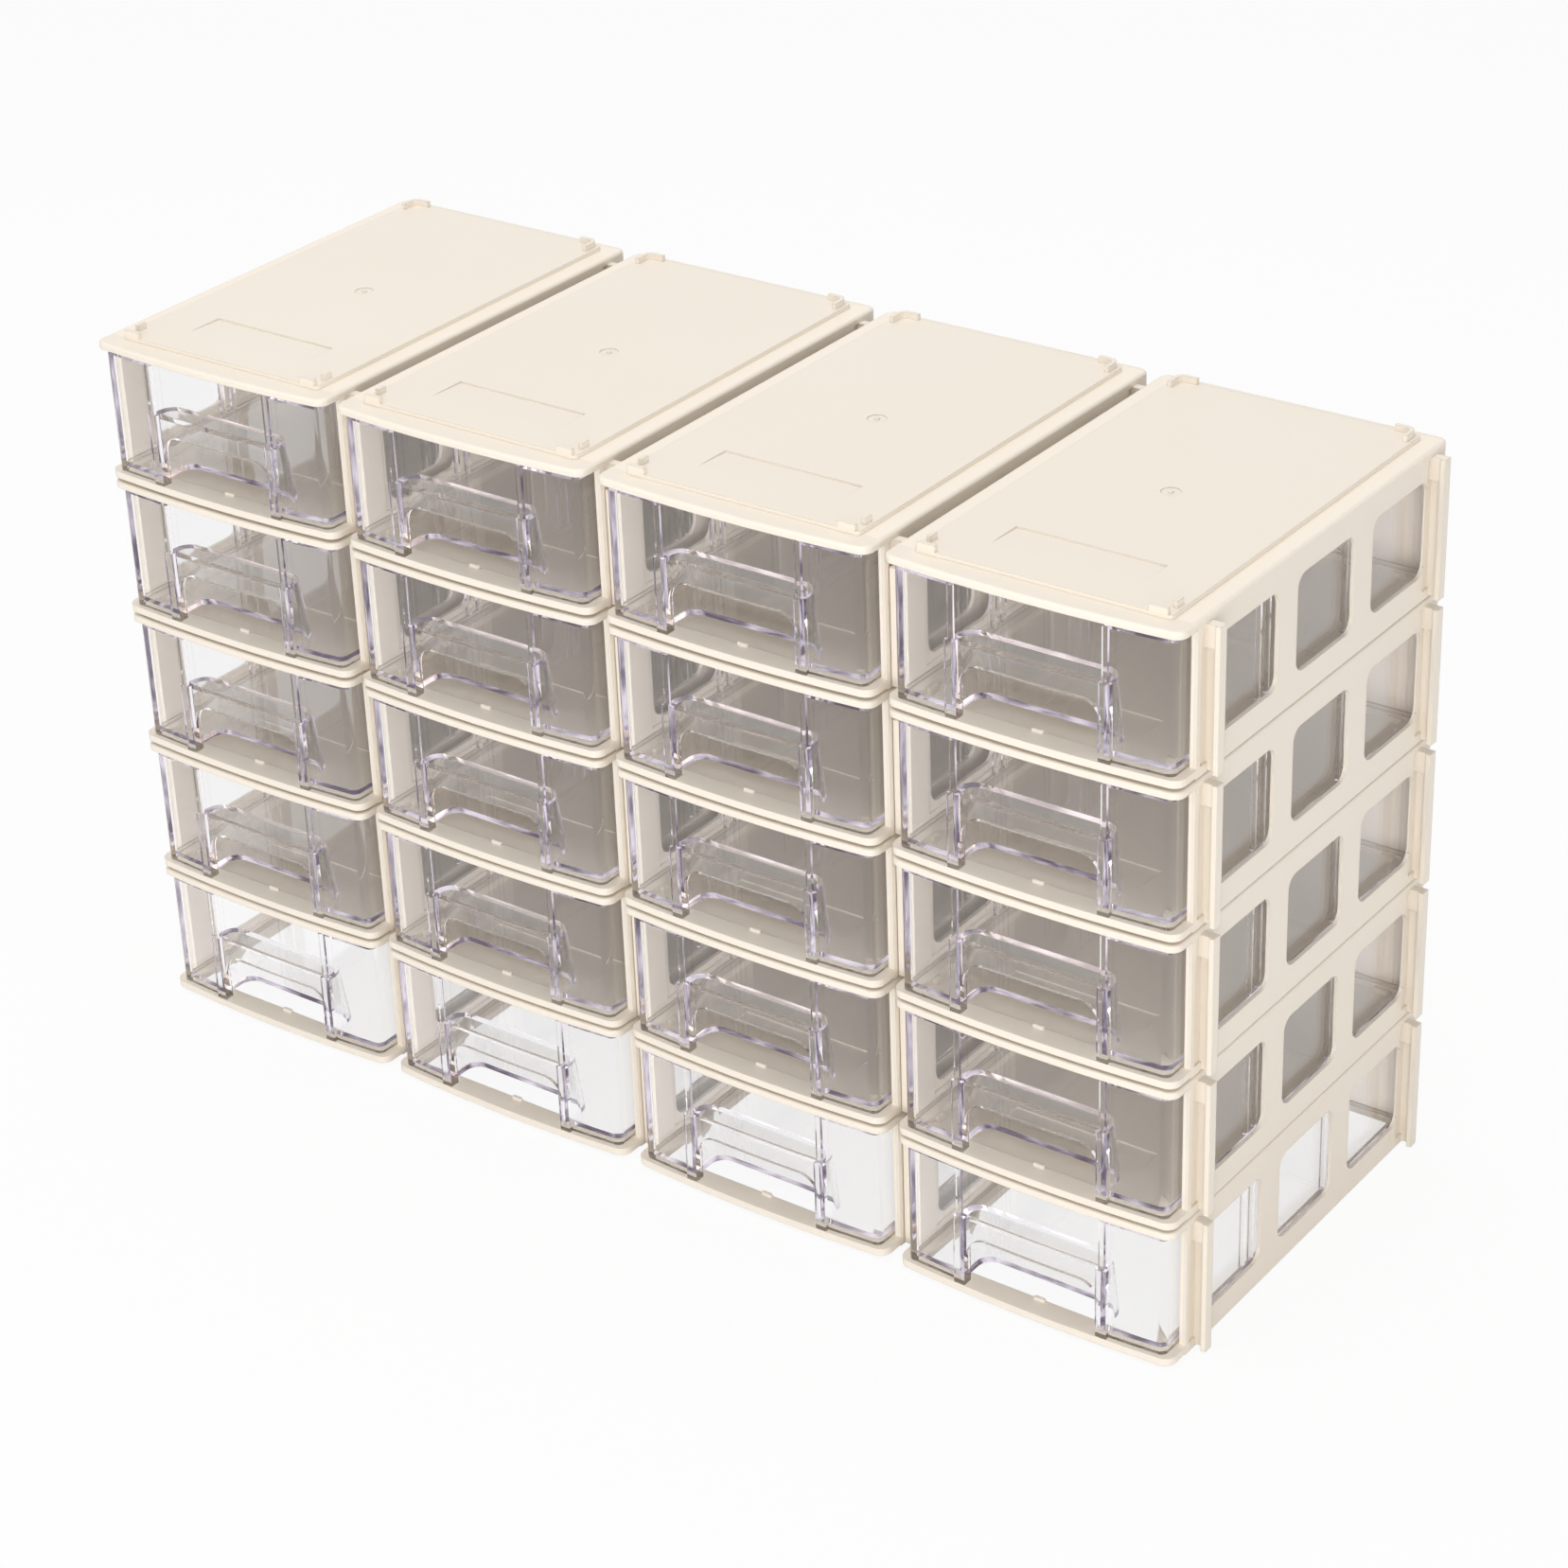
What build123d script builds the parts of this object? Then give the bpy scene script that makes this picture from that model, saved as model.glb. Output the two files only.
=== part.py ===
from build123d import *
import os

# Clip-together storage drawers: identical casings stacked in columns, each with one clear drawer.
# Millimetres, +Z up, the drawers open towards -Y. A casing's own frame has x = 0 and y = 0 at
# the middle of its roof and z = 0 on the underside of its sill.

os.makedirs("parts", exist_ok=True)

# ---- how many, and how far apart ----
COLUMNS = 4
ROWS = 5
ROW_PITCH = 45.0
COLUMN_GAP = 4.6

# ---- casing ----
CASING_WIDTH = 90.0
FRONT_Y = -72.0
REAR_Y = 72.0
BOW = 1.9
FRONT_CORNER_R = 3.6
REAR_CORNER_R = 3.0
CASING_WALL = 2.0
WALL_FRONT_Y = -62.0
FOOT_DROP = 0.5
INNER_CORNER_R = 1.0

# ---- roof: a border, and a plateau that stands above it ----
STEP_HEIGHT = 1.2
LIP_THICKNESS = 2.1
ROOF_EDGE_R = 0.9
PLATEAU_HALF = 38.8
PLATEAU_FRONT_Y = -64.6
PLATEAU_REAR_Y = 67.6
PLATEAU_CORNER_R = 1.5
STEP_WALL = 1.2

# ---- stacking lugs on the plateau's corners ----
LUG_INSET = 1.2
LUG_THICKNESS = 1.3
LUG_HEIGHT = 1.8
LUG_LEG = 6.5
LUG_CORNER_R = 3.0
FRONT_LUG_LEG = 5.6
FRONT_LUG_GAP = 3.4
FRONT_LUG_STUB = 3.1

# ---- bare label recess and moulding gate mark on the plateau ----
LABEL_HALF = 22.9
LABEL_REAR_Y = -39.8
LABEL_RUNOUT = 12.2
LABEL_DEPTH = 0.5
GATE_RING_R = 2.8
GATE_RING_DEPTH = 0.25
GATE_NUB_R = 0.8
GATE_NUB_HEIGHT = 0.4

# ---- side windows, in walls that are thinned on the inside around them ----
WINDOW_COUNT = 3
WINDOW_LENGTH = 30.8
WINDOW_HEIGHT = 28.6
WINDOW_PITCH = 40.6
WINDOW_MID_Y = 4.2
WINDOW_SILL = 7.4
WINDOW_R = 4.0
THIN_WALL = 1.2
THIN_MARGIN = 2.0

# ---- sill, ledges and rear rim that the drawer runs on ----
SILL_THICKNESS = 2.3
LUG_CLEARANCE = 0.4
RIM_WIDTH = 2.0
BUMP_WIDTH = 3.6
BUMP_LENGTH = 1.3
BUMP_HEIGHT = 1.0
BUMP_R = 0.5
BUMP_TOP_R = 0.4

# ---- side hooks that clip one column to the next ----
HOOK_LENGTH = 3.2
HOOK_LEG = 1.5
HOOK_BASE = 1.2
HOOK_REAR_FACES = (-55.4, 64.5)
HOOK_TOP = 42.0
HOOK_STOP_HEIGHT = 6.8
HOOK_STOP_LENGTH = 2.6
HOOK_CLEARANCE = 0.3
HOOK_GROOVE_DEPTH = 0.7
HOOK_GROOVE_LENGTH = 3.4
TONGUE_BASE = 1.5

# ---- drawer ----
SIDE_CLEARANCE = 0.6
REAR_CLEARANCE = 0.6
DRAWER_FRONT_Y = -70.5
DRAWER_WALL = 2.0
DRAWER_FRONT_R = 2.0
DRAWER_REAR_R = 2.0
DRAWER_INNER_R = 1.5
RIM_TOP_GAP = 1.7
PANEL_TOP_GAP = 0.4
SKIRT_HEIGHT = 1.4
FLOOR_THICKNESS = 1.5

# ---- ribs and posts on the drawer's front ----
RIB_X = 23.3
RIB_WIDTH = 1.5
RIB_PROUD = 0.8
POST_WIDTH = 3.5

# ---- finger pocket under the drawer's front ----
SHELF_TOP = 25.0
POCKET_WALL = 1.8
POCKET_TOP_REAR_Y = -61.3
POCKET_BASE_REAR_Y = -56.8
POCKET_TOP_R = 5.0
POCKET_BASE_R = 6.5
ARCH_TOP = 18.5
ARCH_R = 6.5

# ---- divider slots inside the drawer, and the catch tab under it ----
SLOT_YS = (-22.3, 24.0)
SLOT_RIB = 1.5
SLOT_DEPTH = 1.2
SLOT_GAP = 3.2
SLOT_TOP_GAP = 1.5
TRAVEL = 110.0
STOP_GAP = 0.3
TAB_WIDTH = 8.0
TAB_LENGTH = 1.6

# ---- worked out from the sizes above ----
CASING_HALF = CASING_WIDTH / 2
INNER_HALF = CASING_HALF - CASING_WALL
COLUMN_PITCH = CASING_WIDTH + COLUMN_GAP
BORDER_Z = ROW_PITCH - STEP_HEIGHT
LIP_Z = BORDER_Z - LIP_THICKNESS
BACK_WALL_Y = REAR_Y - CASING_WALL
LUG_HALF = PLATEAU_HALF - LUG_INSET
LEDGE_HALF = LUG_HALF + LUG_CLEARANCE
SILL_REAR_Y = PLATEAU_FRONT_Y - LUG_CLEARANCE
RIM_FRONT_Y = PLATEAU_REAR_Y + LUG_CLEARANCE
DRAWER_HALF = INNER_HALF - SIDE_CLEARANCE
DRAWER_REAR_Y = BACK_WALL_Y - REAR_CLEARANCE
DRAWER_BOW = BOW * (DRAWER_HALF / CASING_HALF) ** 2
DRAWER_RIM_Z = LIP_Z - RIM_TOP_GAP
PANEL_Z = LIP_Z - PANEL_TOP_GAP
FLOOR_Z = SILL_THICKNESS + SKIRT_HEIGHT
FLOOR_TOP = FLOOR_Z + FLOOR_THICKNESS
BUMP_REAR_Y = SILL_REAR_Y
HOOK_REACH = COLUMN_GAP - HOOK_CLEARANCE
TONGUE_LEG = HOOK_REACH - HOOK_LEG - 2 * HOOK_CLEARANCE
OVERCUT = 1.0


def block(x0, x1, y0, y1, z0, z1):
    """A box between two corners."""
    box = Box(x1 - x0, y1 - y0, z1 - z0, align=(Align.MIN, Align.MIN, Align.MIN))
    return Pos(x0, y0, z0) * box


def bowed_outline(half, front, rear, bow, front_r, rear_r):
    """A plan outline with a bowed front and four rounded corners."""
    with BuildSketch() as sketch:
        with BuildLine():
            Polyline((half, front + bow), (half, rear), (-half, rear), (-half, front + bow))
            ThreePointArc((-half, front + bow), (0, front), (half, front + bow))
        make_face()
        corners = sketch.vertices().sort_by(Axis.Y)
        fillet(corners[:2], front_r)
        corners = sketch.vertices().group_by(Axis.Y)[-1]
        fillet(corners, rear_r)
    return sketch.sketch


def plate(outline, z0, z1):
    """A plan outline raised from one height to another."""
    return Pos(0, 0, z0) * extrude(outline, amount=z1 - z0)


def rounded_block(half, y0, y1, z0, z1, radius):
    """A block centred on x = 0 with rounded upright edges."""
    box = block(-half, half, y0, y1, z0, z1)
    return fillet(box.edges().filter_by(Axis.Z), radius)


def both_sides(piece):
    """A piece and its mirror image across x = 0."""
    return piece + mirror(piece, about=Plane.YZ)


def casing_outline():
    return bowed_outline(CASING_HALF, FRONT_Y, REAR_Y, BOW, FRONT_CORNER_R, REAR_CORNER_R)


def roof():
    """The border plate with the plateau raised above it, hollow underneath."""
    border = plate(casing_outline(), LIP_Z, BORDER_Z)
    border = fillet(border.edges().group_by(Axis.Z)[-1], ROOF_EDGE_R)
    plateau = rounded_block(
        PLATEAU_HALF, PLATEAU_FRONT_Y, PLATEAU_REAR_Y, LIP_Z, ROW_PITCH, PLATEAU_CORNER_R
    )
    hollow = block(
        STEP_WALL - PLATEAU_HALF,
        PLATEAU_HALF - STEP_WALL,
        PLATEAU_FRONT_Y + STEP_WALL,
        PLATEAU_REAR_Y - STEP_WALL,
        LIP_Z - OVERCUT,
        ROW_PITCH - LIP_THICKNESS,
    )
    return border + plateau - hollow


def label_recess():
    """A shallow wedge, deepest along its rear edge and running out to nothing at its front."""
    front = LABEL_REAR_Y - LABEL_RUNOUT
    profile = Polyline(
        (-LABEL_HALF, front, ROW_PITCH),
        (-LABEL_HALF, LABEL_REAR_Y, ROW_PITCH),
        (-LABEL_HALF, LABEL_REAR_Y, ROW_PITCH - LABEL_DEPTH),
        close=True,
    )
    return extrude(make_face(profile), amount=2 * LABEL_HALF, dir=(1, 0, 0))


def gate_mark(casing):
    """A shallow round dimple with a nub, where the plastic entered the mould."""
    dimple_z = ROW_PITCH - GATE_RING_DEPTH
    base = (Align.CENTER, Align.CENTER, Align.MIN)
    dimple = Pos(0, 0, dimple_z) * Cylinder(GATE_RING_R, OVERCUT, align=base)
    nub = Pos(0, 0, dimple_z) * Cylinder(GATE_NUB_R, GATE_NUB_HEIGHT, align=base)
    return casing - dimple + nub


def lugs():
    """Four low corner lugs that drop inside the bottom frame of the casing above."""
    top = ROW_PITCH + LUG_HEIGHT
    outer = LUG_HALF
    inner = LUG_HALF - LUG_THICKNESS
    rear_corner = block(outer - LUG_LEG, outer, PLATEAU_REAR_Y - LUG_LEG, PLATEAU_REAR_Y, ROW_PITCH, top)
    rear_edge = rear_corner.edges().filter_by(Axis.Z).sort_by(Axis.Y)[-2:].sort_by(Axis.X)[-1]
    rear_corner = fillet(rear_edge, LUG_CORNER_R)
    rear_space = block(
        outer - LUG_LEG - OVERCUT,
        inner,
        PLATEAU_REAR_Y - LUG_LEG - OVERCUT,
        PLATEAU_REAR_Y - LUG_THICKNESS,
        ROW_PITCH - OVERCUT,
        top + OVERCUT,
    )
    space_edge = rear_space.edges().filter_by(Axis.Z).sort_by(Axis.Y)[-2:].sort_by(Axis.X)[-1]
    rear_space = fillet(space_edge, LUG_CORNER_R - LUG_THICKNESS)
    front_bar = block(
        outer - FRONT_LUG_LEG, outer, PLATEAU_FRONT_Y, PLATEAU_FRONT_Y + LUG_THICKNESS, ROW_PITCH, top
    )
    stub_y = PLATEAU_FRONT_Y + LUG_THICKNESS + FRONT_LUG_GAP
    front_stub = block(inner, outer, stub_y, stub_y + FRONT_LUG_STUB, ROW_PITCH, top)
    return both_sides(rear_corner - rear_space) + both_sides(front_bar) + both_sides(front_stub)


def walls():
    """Two side walls and the back wall, open at the front."""
    outer = rounded_block(CASING_HALF, WALL_FRONT_Y, REAR_Y, -FOOT_DROP, LIP_Z, REAR_CORNER_R)
    outer += block(
        -CASING_HALF, CASING_HALF, WALL_FRONT_Y, WALL_FRONT_Y + REAR_CORNER_R, -FOOT_DROP, LIP_Z
    )
    space = rounded_block(
        INNER_HALF,
        WALL_FRONT_Y - 2 * INNER_CORNER_R,
        BACK_WALL_Y,
        -FOOT_DROP - OVERCUT,
        LIP_Z + OVERCUT,
        INNER_CORNER_R,
    )
    return outer - space


def windows():
    """The openings through both side walls."""
    cuts = Part()
    middle_z = WINDOW_SILL + WINDOW_HEIGHT / 2
    for number in range(WINDOW_COUNT):
        y = WINDOW_MID_Y + (number - (WINDOW_COUNT - 1) / 2) * WINDOW_PITCH
        cut = Box(CASING_WIDTH + 2 * OVERCUT, WINDOW_LENGTH, WINDOW_HEIGHT)
        cut = fillet(cut.edges().filter_by(Axis.X), WINDOW_R)
        cuts += Pos(0, y, middle_z) * cut
    return cuts


def thinning():
    """What is taken off the inside of both side walls around the windows."""
    half_length = ((WINDOW_COUNT - 1) * WINDOW_PITCH + WINDOW_LENGTH) / 2 + THIN_MARGIN
    cut = block(
        INNER_HALF - OVERCUT,
        CASING_HALF - THIN_WALL,
        WINDOW_MID_Y - half_length,
        WINDOW_MID_Y + half_length,
        WINDOW_SILL - THIN_MARGIN,
        WINDOW_SILL + WINDOW_HEIGHT + THIN_MARGIN,
    )
    return both_sides(cut)


def bottom_frame():
    """Sill, side ledges and rear rim: the drawer's runway, and the seat on the casing below."""
    sill = plate(casing_outline(), 0, SILL_THICKNESS)
    sill -= block(
        -LEDGE_HALF, LEDGE_HALF, SILL_REAR_Y, RIM_FRONT_Y, -OVERCUT, SILL_THICKNESS + OVERCUT
    )
    sill -= block(
        -CASING_HALF - OVERCUT,
        CASING_HALF + OVERCUT,
        RIM_FRONT_Y + RIM_WIDTH,
        REAR_Y + OVERCUT,
        -OVERCUT,
        SILL_THICKNESS + OVERCUT,
    )
    bump = rounded_block(
        BUMP_WIDTH / 2,
        BUMP_REAR_Y - BUMP_LENGTH,
        BUMP_REAR_Y,
        SILL_THICKNESS,
        SILL_THICKNESS + BUMP_HEIGHT,
        BUMP_R,
    )
    bump = fillet(bump.edges().group_by(Axis.Z)[-1], BUMP_TOP_R)
    return sill + bump


def hook_grooves():
    """Shallow upright grooves in the right wall, in front of each hook's base."""
    cuts = Part()
    wall_x = CASING_HALF
    for rear in HOOK_REAR_FACES:
        groove_rear = rear - HOOK_BASE
        groove_front = groove_rear - HOOK_GROOVE_LENGTH
        cuts += block(
            wall_x - HOOK_GROOVE_DEPTH, wall_x + OVERCUT, groove_front, groove_rear, 0, LIP_Z
        )
    return cuts


def hooks():
    """Right-hand hooks, open towards the front, with a stop near the top of their slot."""
    pieces = Part()
    root_x = CASING_HALF - HOOK_GROOVE_DEPTH
    leg_x = CASING_HALF + HOOK_REACH - HOOK_LEG
    tip_x = CASING_HALF + HOOK_REACH
    stop_z = HOOK_TOP - HOOK_STOP_HEIGHT
    for rear in HOOK_REAR_FACES:
        base_y = rear - HOOK_BASE
        pieces += block(CASING_HALF, tip_x, base_y, rear, 0, HOOK_TOP)
        pieces += block(leg_x, tip_x, rear - HOOK_LENGTH, base_y, 0, HOOK_TOP)
        pieces += block(root_x, leg_x, rear - HOOK_STOP_LENGTH, base_y, stop_z, HOOK_TOP)
    return pieces


def tongues():
    """Left-hand hooks that drop into the next casing's right-hand hooks."""
    pieces = Part()
    root_x = -CASING_HALF
    tip_x = -CASING_HALF - HOOK_REACH
    top = HOOK_TOP - HOOK_STOP_HEIGHT - HOOK_CLEARANCE
    for rear in HOOK_REAR_FACES:
        base_y = rear - HOOK_LENGTH - HOOK_CLEARANCE
        tip_y = rear - HOOK_BASE - HOOK_CLEARANCE
        pieces += block(tip_x, root_x, base_y - TONGUE_BASE, base_y, 0, top)
        pieces += block(tip_x, tip_x + TONGUE_LEG, base_y, tip_y, 0, top)
    return pieces


def casing():
    body = walls() - windows() - thinning() - hook_grooves()
    body += roof() - label_recess()
    body += bottom_frame() + lugs()
    return gate_mark(body) + hooks() + tongues()


def pocket_form(inset, top_z, base_z):
    """The finger pocket's form, narrowed by an inset: upright sides and a sloping back."""
    half = RIB_X + RIB_WIDTH / 2 - inset
    front = DRAWER_FRONT_Y - OVERCUT

    def section(rear, radius, z):
        with BuildSketch(Plane.XY.offset(z)) as sketch:
            with Locations((0, (front + rear) / 2)):
                Rectangle(2 * half, rear - front)
            fillet(sketch.vertices().group_by(Axis.Y)[-1], radius - inset)
        return sketch.sketch

    slope = (POCKET_BASE_REAR_Y - POCKET_TOP_REAR_Y) / (SHELF_TOP - FLOOR_Z)
    top_rear = POCKET_TOP_REAR_Y + slope * (SHELF_TOP - top_z)
    base_rear = POCKET_TOP_REAR_Y + slope * (SHELF_TOP - base_z)
    sections = [
        section(base_rear - inset, POCKET_BASE_R, base_z),
        section(top_rear - inset, POCKET_TOP_R, top_z),
    ]
    return loft(sections, ruled=True)


def arch():
    """The opening in the drawer's front under the finger bar."""
    half = RIB_X - POST_WIDTH / 2
    cut = block(
        -half, half, DRAWER_FRONT_Y - OVERCUT, DRAWER_FRONT_Y + 2 * DRAWER_WALL, 0, ARCH_TOP
    )
    return fillet(cut.edges().filter_by(Axis.Y).group_by(Axis.Z)[-1], ARCH_R)


def drawer():
    outline = bowed_outline(
        DRAWER_HALF, DRAWER_FRONT_Y, DRAWER_REAR_Y, DRAWER_BOW, DRAWER_FRONT_R, DRAWER_REAR_R
    )
    inner = bowed_outline(
        DRAWER_HALF - DRAWER_WALL,
        DRAWER_FRONT_Y + DRAWER_WALL,
        DRAWER_REAR_Y - DRAWER_WALL,
        DRAWER_BOW,
        DRAWER_INNER_R,
        DRAWER_INNER_R / 2,
    )
    body = plate(outline, SILL_THICKNESS, PANEL_Z)
    body -= plate(inner, FLOOR_TOP, PANEL_Z + OVERCUT)
    body -= plate(inner, SILL_THICKNESS - OVERCUT, FLOOR_Z)

    # The rim is lower than the front panel between the two ribs.
    trim = block(
        -CASING_HALF, CASING_HALF, FRONT_Y, REAR_Y, DRAWER_RIM_Z, PANEL_Z + OVERCUT
    )
    trim -= block(
        -RIB_X, RIB_X, FRONT_Y, DRAWER_FRONT_Y + 2 * DRAWER_WALL, DRAWER_RIM_Z, PANEL_Z + OVERCUT
    )
    body -= trim

    # Ribs stand proud of the front, and thicken into posts beside the finger pocket.
    rib_back = DRAWER_FRONT_Y + DRAWER_BOW
    rib_front = DRAWER_FRONT_Y - RIB_PROUD
    rib = block(
        RIB_X - RIB_WIDTH / 2, RIB_X + RIB_WIDTH / 2, rib_front, rib_back, SILL_THICKNESS, PANEL_Z
    )
    post = block(
        RIB_X - POST_WIDTH / 2, RIB_X + POST_WIDTH / 2, rib_front, rib_back, SILL_THICKNESS, SHELF_TOP
    )
    body += both_sides(rib + post)

    pocket_walls = pocket_form(0, SHELF_TOP, FLOOR_Z) & plate(inner, 0, PANEL_Z)
    body += pocket_walls
    body -= pocket_form(POCKET_WALL, SHELF_TOP - POCKET_WALL, 0) & plate(inner, 0, PANEL_Z)
    body -= arch()

    # Upright ribs in pairs on both side walls take loose dividers.
    slot_x = DRAWER_HALF - DRAWER_WALL
    for slot_y in SLOT_YS:
        for side in (-1, 1):
            y = slot_y + side * (SLOT_GAP + SLOT_RIB) / 2
            slot_rib = block(
                slot_x - SLOT_DEPTH,
                slot_x,
                y - SLOT_RIB / 2,
                y + SLOT_RIB / 2,
                FLOOR_TOP,
                DRAWER_RIM_Z - SLOT_TOP_GAP,
            )
            body += both_sides(slot_rib)

    # The catch tab meets the bump on the sill at full travel.
    tab_y = BUMP_REAR_Y + TRAVEL + STOP_GAP
    tab = block(-TAB_WIDTH / 2, TAB_WIDTH / 2, tab_y, tab_y + TAB_LENGTH, SILL_THICKNESS, FLOOR_Z)
    return body + tab


def place(piece, column, row):
    """Move a piece from its casing's own frame to its place; row 1 is the top one."""
    x = (column - (COLUMNS + 1) / 2) * COLUMN_PITCH
    z = (ROWS - row) * ROW_PITCH + FOOT_DROP
    return Pos(x, 0, z) * piece


casing_shape = casing()
drawer_shape = drawer()
for column in range(1, COLUMNS + 1):
    for row in range(1, ROWS + 1):
        name = f"c{column}_r{row}"
        export_step(place(casing_shape, column, row), f"parts/casing_{name}.step")
        export_step(place(drawer_shape, column, row), f"parts/drawer_{name}.step")
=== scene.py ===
import math

import bpy
from mathutils import Matrix, Vector


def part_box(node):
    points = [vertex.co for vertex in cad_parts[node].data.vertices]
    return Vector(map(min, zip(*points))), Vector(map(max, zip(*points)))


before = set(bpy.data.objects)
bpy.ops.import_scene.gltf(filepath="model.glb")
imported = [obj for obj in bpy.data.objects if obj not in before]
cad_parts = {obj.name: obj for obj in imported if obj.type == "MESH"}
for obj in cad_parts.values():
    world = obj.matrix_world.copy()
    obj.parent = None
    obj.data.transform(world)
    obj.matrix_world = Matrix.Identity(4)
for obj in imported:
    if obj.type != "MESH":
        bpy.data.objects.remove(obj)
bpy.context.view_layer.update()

# Metres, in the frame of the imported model: +Z up, the drawers open towards -Y.

# ---- camera, as the photograph was taken ----
CAMERA_AT = Vector((0.6185, -0.8106, 0.6481))
AZIMUTH = math.radians(36.891)
ELEVATION = math.radians(28.442)
ROLL = math.radians(-2.236)
LENS = 88.67
SENSOR = 36.0
CLIP_NEAR = 0.01
CLIP_FAR = 30.0

# ---- casing plastic ----
CASING_COLOUR = (239, 230, 217)
CASING_DARK = (235, 225, 210)
CASING_ROUGHNESS = 0.38
CASING_IOR = 1.49
CASING_FLOW = {"Scale": 9.0, "Detail": 3.0, "Roughness": 0.5}
CASING_GRAIN = {"Scale": 1400.0, "Detail": 2.0, "Roughness": 0.6}
CASING_BUMP = {"Strength": 0.12, "Distance": 0.0001}
EDGE_RADIUS = 0.0004
EDGE_SAMPLES = 4

# ---- painted light: the faint warm glow painted on the inside faces of the casings, and the places that get it ----
PAINTED_INSIDE_LIGHT = 0.06
PAINTED_INSIDE_LIGHT_COLOUR = (1.0, 0.86, 0.70, 1.0)
COLUMN_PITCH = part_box("casing_c2_r1")[0][0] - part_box("casing_c1_r1")[0][0]
INSIDE_HALF = 0.0439
INSIDE_FRONT = -0.063
INSIDE_REAR = 0.0702
INSIDE_TOP = 0.2245

# ---- clear plastic ----
CLEAR_ROUGHNESS = 0.01
CLEAR_IOR = 1.52
CLEAR_WAVE = {"Scale": 26.0, "Detail": 1.0, "Roughness": 0.4}
CLEAR_BUMP = {"Strength": 0.25, "Distance": 0.0004}
CLEAR_TINT = (0.68, 0.56, 0.82, 1.0)
CLEAR_DENSITY = 4.0
CLEAR_SHADOW = (0.98, 0.975, 0.985, 1.0)
# Rays caught after this many mirrorings glow: painted pale violet glints and painted dark
# violet shade, in streaks.
CAUGHT_AFTER = 3.5
CAUGHT_PAINTED_STREAKS = {"Scale": 70.0, "Detail": 2.0, "Roughness": 0.6}
CAUGHT_PAINTED_SHADE = (0.065, 0.050, 0.072, 1.0)
CAUGHT_PAINTED_GLINT = (0.42, 0.39, 0.43, 1.0)
CAUGHT_PAINTED_SHADE_END = 0.42
CAUGHT_PAINTED_GLINT_END = 0.62

# ---- studio ----
WHITE = (1.0, 1.0, 1.0, 1.0)
WORLD_AS_LAMP = 0.5
WORLD_SEEN = 1.0
FLOOR_COLOUR = (0.9, 0.9, 0.9, 1.0)
FLOOR_ROUGHNESS = 0.9
FLOOR_SEEN = 0.9
FLOOR_SIZE = 8.0
FLOOR_Z = -0.0005
LAMP_TARGET = Vector((0, 0, 0.1))
LAMPS = {
    "top_soft": {"at": (-0.1, -0.1, 1.5), "size": (1.6, 1.2), "power": 11.0},
    "front_soft": {"at": (-0.3, -1.7, 0.45), "size": (1.6, 0.9), "power": 6.0},
    "low_soft": {"at": (1.0, -1.3, 0.25), "size": (0.9, 0.4), "power": 8.0},
    "side_soft": {"at": (1.7, -0.4, 0.6), "size": (1.0, 1.0), "power": 2.0},
}


def add_object(name, data):
    """A new object for a camera or a lamp, put into the scene."""
    made = bpy.data.objects.new(name, data)
    bpy.context.scene.collection.objects.link(made)
    return made


def make_camera():
    data = bpy.data.cameras.new("camera")
    data.lens = LENS
    data.sensor_width = SENSOR
    data.clip_start = CLIP_NEAR
    data.clip_end = CLIP_FAR
    camera = add_object("camera", data)
    level = math.cos(ELEVATION)
    look = Vector((-math.sin(AZIMUTH) * level, math.cos(AZIMUTH) * level, -math.sin(ELEVATION)))
    turn = look.to_track_quat("-Z", "Y").to_matrix()
    turn = turn @ Matrix.Rotation(ROLL, 3, "Z")
    camera.matrix_world = Matrix.Translation(CAMERA_AT) @ turn.to_4x4()
    bpy.context.scene.camera = camera


# ---- shader helpers ----
def node(tree, kind, **inputs):
    """A new shader node with some of its inputs set."""
    made = tree.nodes.new(kind)
    for name, value in inputs.items():
        made.inputs[name].default_value = value
    return made


def calc(tree, operation, first, second=0.0):
    """A step of arithmetic between sockets and numbers."""
    made = tree.nodes.new("ShaderNodeMath")
    made.operation = operation
    for slot, value in enumerate((first, second)):
        if isinstance(value, float):
            made.inputs[slot].default_value = value
        else:
            tree.links.new(value, made.inputs[slot])
    return made.outputs[0]


def noise(tree, place, settings):
    """A cloud pattern at a place, from 0 to 1."""
    made = node(tree, "ShaderNodeTexNoise", **settings)
    tree.links.new(place, made.inputs["Vector"])
    return made.outputs["Fac"]


def bump(tree, height, settings):
    made = node(tree, "ShaderNodeBump", **settings)
    tree.links.new(height, made.inputs["Height"])
    return made


def mixed(tree, share, first, second):
    """One shader laid over another, by a share from 0 to 1."""
    made = tree.nodes.new("ShaderNodeMixShader")
    for slot, value in enumerate((share, first.outputs[0], second.outputs[0])):
        tree.links.new(value, made.inputs[slot])
    return made.outputs[0]


def rays_of(tree, *kinds):
    """One for rays of the named kinds, nought for all others."""
    rays = tree.nodes.new("ShaderNodeLightPath")
    found = rays.outputs[kinds[0]]
    for kind in kinds[1:]:
        found = calc(tree, "MAXIMUM", found, rays.outputs[kind])
    return found


def new_material(name, roughness):
    material = bpy.data.materials.new(name)
    material.use_nodes = True
    shader = material.node_tree.nodes["Principled BSDF"]
    shader.inputs["Roughness"].default_value = roughness
    return material, material.node_tree, shader


def srgb(shown):
    """A colour as a screen shows it, 0 to 255, turned into linear light."""
    def linear(value):
        value /= 255
        return value / 12.92 if value <= 0.04045 else ((value + 0.055) / 1.055) ** 2.4
    return (*(linear(value) for value in shown), 1.0)


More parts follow.
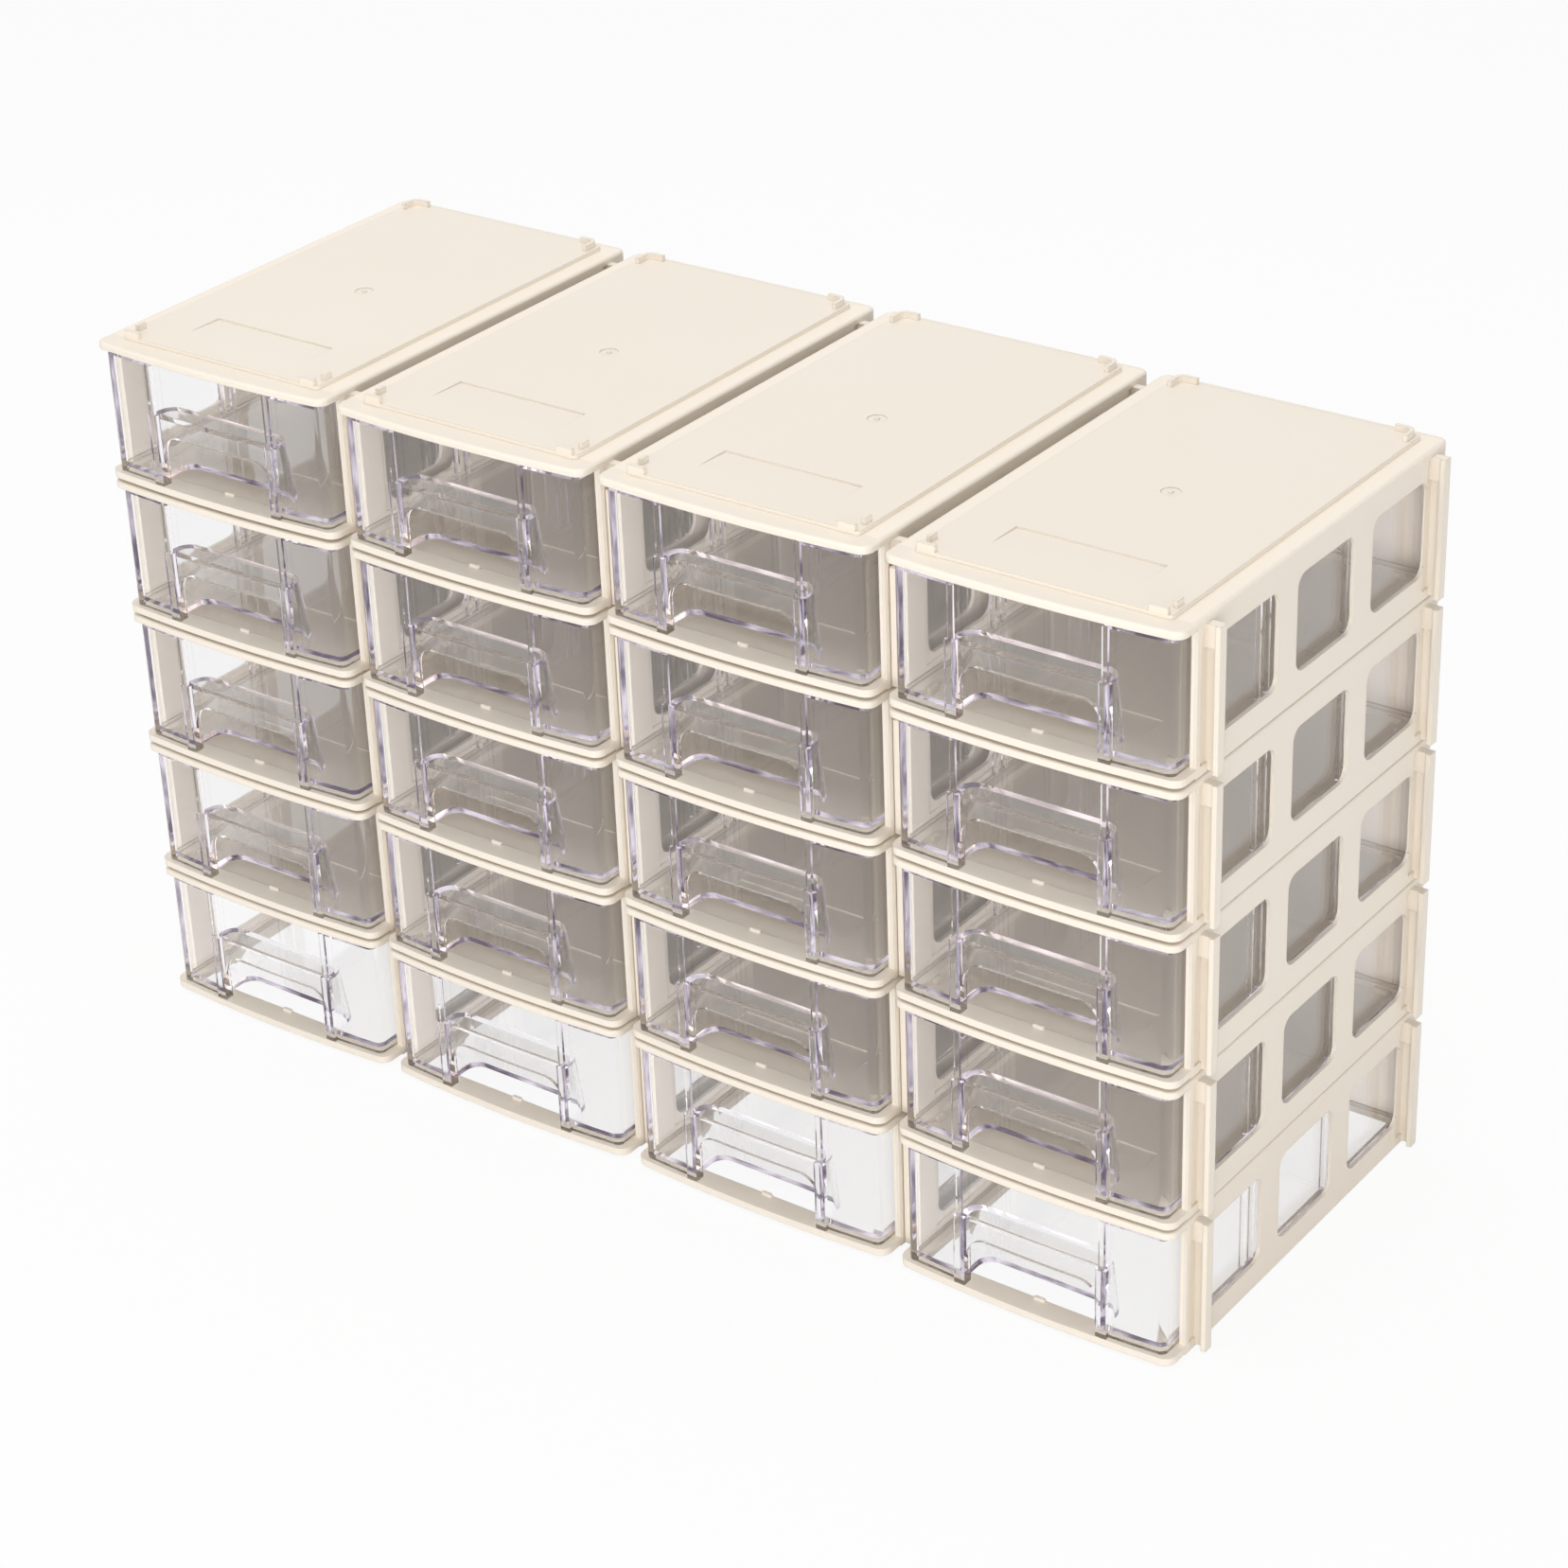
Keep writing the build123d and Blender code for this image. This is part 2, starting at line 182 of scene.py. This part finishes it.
# ---- materials of the object ----
def painted_light_places(tree, place):
    """Where the painted light goes: one inside the casings, nought on their outer faces, fronts
    and topmost roofs.

    The columns are even in number, so each one's middle is half a pitch off a whole pitch.
    """
    split = tree.nodes.new("ShaderNodeSeparateXYZ")
    tree.links.new(place, split.inputs[0])
    across, along, up = split.outputs
    column = calc(tree, "FRACT", calc(tree, "DIVIDE", across, COLUMN_PITCH))
    aside = calc(tree, "ABSOLUTE", calc(tree, "SUBTRACT", column, 0.5))
    inside = calc(tree, "LESS_THAN", aside, INSIDE_HALF / COLUMN_PITCH)
    for test, value, limit in (
        ("GREATER_THAN", along, INSIDE_FRONT),
        ("LESS_THAN", along, INSIDE_REAR),
        ("LESS_THAN", up, INSIDE_TOP),
    ):
        inside = calc(tree, "MULTIPLY", inside, calc(tree, test, value, limit))
    return inside


def casing_material():
    """Warm beige satin plastic: faint flow clouds in the colour and a fine moulded grain."""
    material, tree, shader = new_material("casing_plastic", CASING_ROUGHNESS)
    shader.inputs["IOR"].default_value = CASING_IOR
    place = tree.nodes.new("ShaderNodeTexCoord").outputs["Object"]
    tint = tree.nodes.new("ShaderNodeMix")
    tint.data_type = "RGBA"
    tint.inputs["A"].default_value = srgb(CASING_COLOUR)
    tint.inputs["B"].default_value = srgb(CASING_DARK)
    tree.links.new(noise(tree, place, CASING_FLOW), tint.inputs["Factor"])
    tree.links.new(tint.outputs["Result"], shader.inputs["Base Color"])

    # The grain lies on normals that turn softly over the sharp edges, as on a moulding.
    grain = bump(tree, noise(tree, place, CASING_GRAIN), CASING_BUMP)
    edge = node(tree, "ShaderNodeBevel", Radius=EDGE_RADIUS)
    edge.samples = EDGE_SAMPLES
    tree.links.new(edge.outputs["Normal"], grain.inputs["Normal"])
    tree.links.new(grain.outputs["Normal"], shader.inputs["Normal"])

    # Painted light: the inside faces of a casing glow a little, warmly. This emission stands in
    # for light reaching the insides and is no lamp.
    painted_inside_light = calc(tree, "MULTIPLY", painted_light_places(tree, place), PAINTED_INSIDE_LIGHT)
    tree.links.new(painted_inside_light, shader.inputs["Emission Strength"])
    shader.inputs["Emission Color"].default_value = PAINTED_INSIDE_LIGHT_COLOUR
    material.cycles.emission_sampling = "NONE"
    return material


def clear_material():
    """Clear plastic, violet where one looks along it, with the slight waves of a moulding."""
    material, tree, shader = new_material("clear_plastic", CLEAR_ROUGHNESS)
    shader.inputs["Base Color"].default_value = WHITE
    shader.inputs["IOR"].default_value = CLEAR_IOR
    shader.inputs["Transmission Weight"].default_value = 1.0
    place = tree.nodes.new("ShaderNodeTexCoord").outputs["Object"]
    wave = bump(tree, noise(tree, place, CLEAR_WAVE), CLEAR_BUMP)
    tree.links.new(wave.outputs["Normal"], shader.inputs["Normal"])

    # A ray still caught between the faces after four mirrorings is given up, and would end
    # black. It ends in a painted glow instead: streaks of painted pale violet glints and
    # painted dark violet shade.
    rays = tree.nodes.new("ShaderNodeLightPath")
    caught = calc(tree, "GREATER_THAN", rays.outputs["Glossy Depth"], CAUGHT_AFTER)
    tree.links.new(caught, shader.inputs["Emission Strength"])
    ramp = tree.nodes.new("ShaderNodeValToRGB")
    dark, light = ramp.color_ramp.elements
    dark.position, dark.color = CAUGHT_PAINTED_SHADE_END, CAUGHT_PAINTED_SHADE
    light.position, light.color = CAUGHT_PAINTED_GLINT_END, CAUGHT_PAINTED_GLINT
    tree.links.new(noise(tree, place, CAUGHT_PAINTED_STREAKS), ramp.inputs["Fac"])
    tree.links.new(ramp.outputs["Color"], shader.inputs["Emission Color"])
    material.cycles.emission_sampling = "NONE"

    # Lamps shine through the plastic, as they do in a room.
    through = node(tree, "ShaderNodeBsdfTransparent", Color=CLEAR_SHADOW)
    surface = mixed(tree, rays.outputs["Is Shadow Ray"], shader, through)
    out = tree.nodes["Material Output"]
    tree.links.new(surface, out.inputs["Surface"])
    absorb = node(tree, "ShaderNodeVolumeAbsorption", Color=CLEAR_TINT, Density=CLEAR_DENSITY)
    tree.links.new(absorb.outputs["Volume"], out.inputs["Volume"])
    return material


def dress_pieces():
    """Each casing and each drawer gets its plastic, by the first word of its node's name."""
    materials = {"casing": casing_material(), "drawer": clear_material()}
    for name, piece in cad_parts.items():
        kind = name.split("_")[0]
        piece.data.materials.clear()
        piece.data.materials.append(materials[kind])


# ---- studio ----
def floor_material():
    """Matt and nearly white, and whiter still where it is seen, so that only a shadow shows."""
    material, tree, shader = new_material("floor", FLOOR_ROUGHNESS)
    shader.inputs["Base Color"].default_value = FLOOR_COLOUR
    white = node(tree, "ShaderNodeEmission", Color=WHITE, Strength=1.0)
    seen = rays_of(tree, "Is Camera Ray", "Is Transmission Ray")
    surface = mixed(tree, calc(tree, "MULTIPLY", seen, FLOOR_SEEN), shader, white)
    tree.links.new(surface, tree.nodes["Material Output"].inputs["Surface"])
    return material


def make_floor():
    bpy.ops.mesh.primitive_plane_add(size=FLOOR_SIZE, location=(0, 0, FLOOR_Z))
    floor = bpy.context.object
    floor.name = "floor"
    floor.data.materials.append(floor_material())


def make_world():
    """The room is white where it is seen, mirrored or seen through; as a lamp it is dimmer."""
    world = bpy.data.worlds.new("studio")
    bpy.context.scene.world = world
    world.use_nodes = True
    tree = world.node_tree
    back = tree.nodes["Background"]
    back.inputs["Color"].default_value = WHITE
    seen = rays_of(tree, "Is Camera Ray", "Is Transmission Ray", "Is Glossy Ray")
    strength = node(tree, "ShaderNodeMix", A=WORLD_AS_LAMP, B=WORLD_SEEN)
    tree.links.new(seen, strength.inputs["Factor"])
    tree.links.new(strength.outputs["Result"], back.inputs["Strength"])


def softbox(name, at, size, power):
    data = bpy.data.lights.new(name, "AREA")
    data.shape = "RECTANGLE"
    data.size, data.size_y = size
    data.energy = power
    lamp = add_object(name, data)
    lamp.location = at
    lamp.rotation_euler = (LAMP_TARGET - Vector(at)).to_track_quat("-Z", "Y").to_euler()


make_camera()
dress_pieces()
make_floor()
make_world()
for lamp_name, lamp in LAMPS.items():
    softbox(lamp_name, **lamp)

bpy.context.scene.view_settings.view_transform = "Standard"
